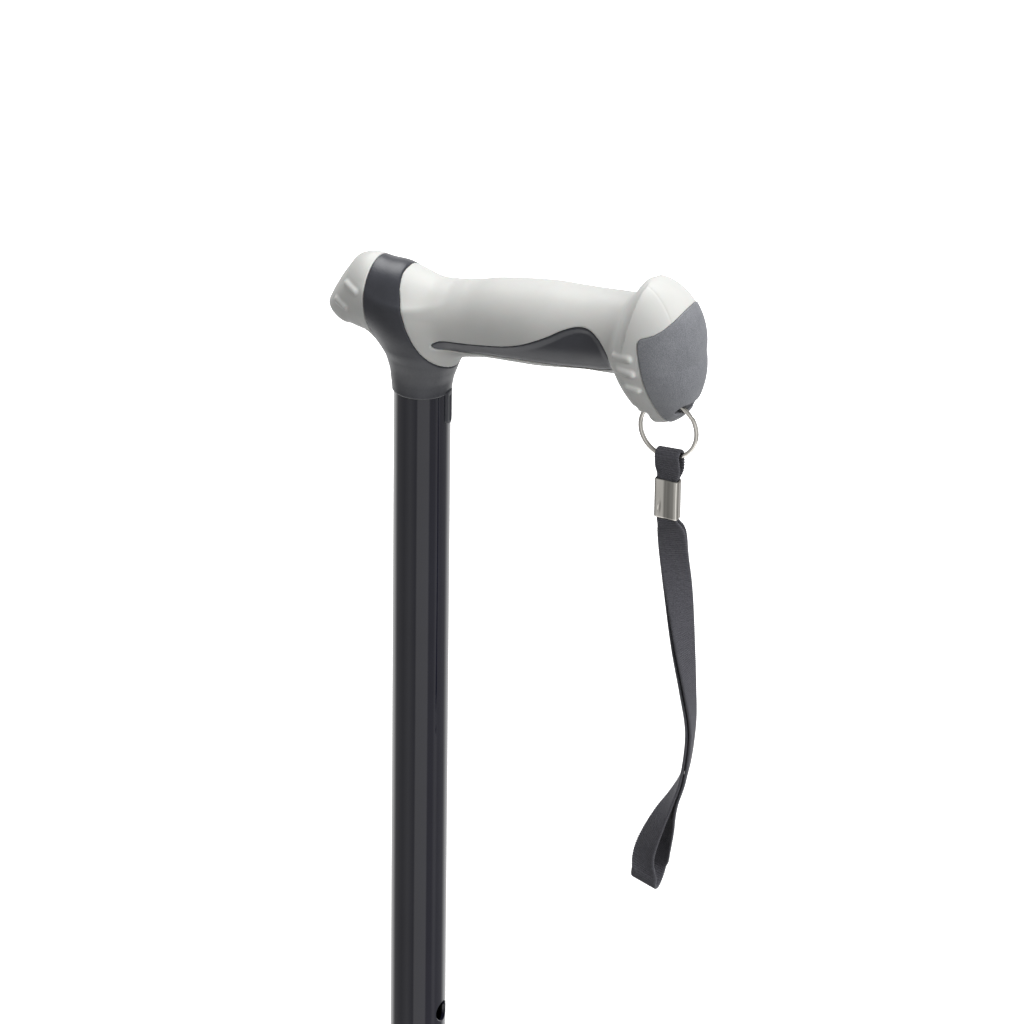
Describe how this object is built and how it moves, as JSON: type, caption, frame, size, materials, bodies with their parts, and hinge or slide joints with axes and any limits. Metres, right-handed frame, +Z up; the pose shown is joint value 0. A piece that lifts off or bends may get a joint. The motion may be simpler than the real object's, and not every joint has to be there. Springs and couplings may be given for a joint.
{
  "type": "quad walking cane",
  "caption": "Height-adjustable walking cane with a soft cross handle and wrist strap, standing on a low splayed base with rubber-tipped legs.",
  "frame": {"origin": "on the floor, at the middle of the bounding box; the shaft stands beside it on the line x = -4.3 mm, y = -30 mm", "axes": "+Z up along the shaft, +X towards the rear end of the handle (the end with the strap), +Y towards the outer side of the base"},
  "size_m": [0.2269, 0.181, 0.8287],
  "materials": {
    "grip_rubber": "soft-touch moulded elastomer, matte, light warm grey",
    "core_plastic": "fine-textured moulded plastic, dark charcoal",
    "cap_plastic": "spark-eroded moulded plastic, mid grey",
    "tube_black": "high-gloss black coating on aluminium tube",
    "inner_tube": "brushed and clear-anodised aluminium tube",
    "base_paint": "satin black powder coat on steel",
    "zinc_steel": "bright zinc-plated steel",
    "nickel": "bright nickel plate on steel wire and sheet",
    "collar_plastic": "matte black moulded plastic",
    "tip_rubber": "black moulded rubber, matte",
    "webbing": "ribbed black woven tape"
  },
  "bodies": {
    "base": {"rubber_tip_near_front": "tip_rubber", "rubber_tip_near_rear": "tip_rubber", "rubber_tip_far_front": "tip_rubber", "rubber_tip_far_rear": "tip_rubber", "tip_washers": "zinc_steel", "near_leg_tube": "base_paint", "far_leg_tube": "base_paint", "bridge_plate": "base_paint", "base_socket": "base_paint", "socket_weld": "base_paint", "crown_welds": "base_paint", "socket_bolt": "zinc_steel", "socket_nut": "zinc_steel", "socket_washers": "zinc_steel", "lower_tube": "inner_tube", "button_spring": "zinc_steel"},
    "shaft": {"upper_tube": "tube_black", "collet_bushing": "collar_plastic", "handle_core": "core_plastic", "nose_cover": "grip_rubber", "grip_cover": "grip_rubber", "end_cap": "cap_plastic"},
    "lock": {"lock_collar": "collar_plastic"},
    "button": {"snap_button": "nickel"},
    "ring": {"split_ring": "nickel"},
    "strap": {"strap_webbing": "webbing", "strap_crimp": "nickel"}
  },
  "joints": [
    {"name": "height_adjust", "type": "slide", "parent": "base", "child": "shaft", "axis": [0, 0, 1], "range_m": [-0.0762, 0.1524]},
    {"name": "button_press", "type": "slide", "parent": "base", "child": "button", "axis": [-1, 0, 0], "range_m": [0, 0.004], "stiffness_N_per_m": 900, "deforming": ["button_spring"]},
    {"name": "lock_turn", "type": "hinge", "parent": "shaft", "child": "lock", "pos_m": [-0.0043, -0.03, 0.22], "axis": [0, 0, 1], "range_deg": [0, 270]},
    {"name": "ring_swing", "type": "hinge", "parent": "shaft", "child": "ring", "pos_m": [0.1016, -0.0345, 0.7801], "axis": [1, 0, 0], "range_deg": [-30, 30]},
    {"name": "strap_swing", "type": "hinge", "parent": "ring", "child": "strap", "pos_m": [0.1016, -0.0345, 0.7569], "axis": [1, 0, 0], "range_deg": [-25, 25]}
  ]
}
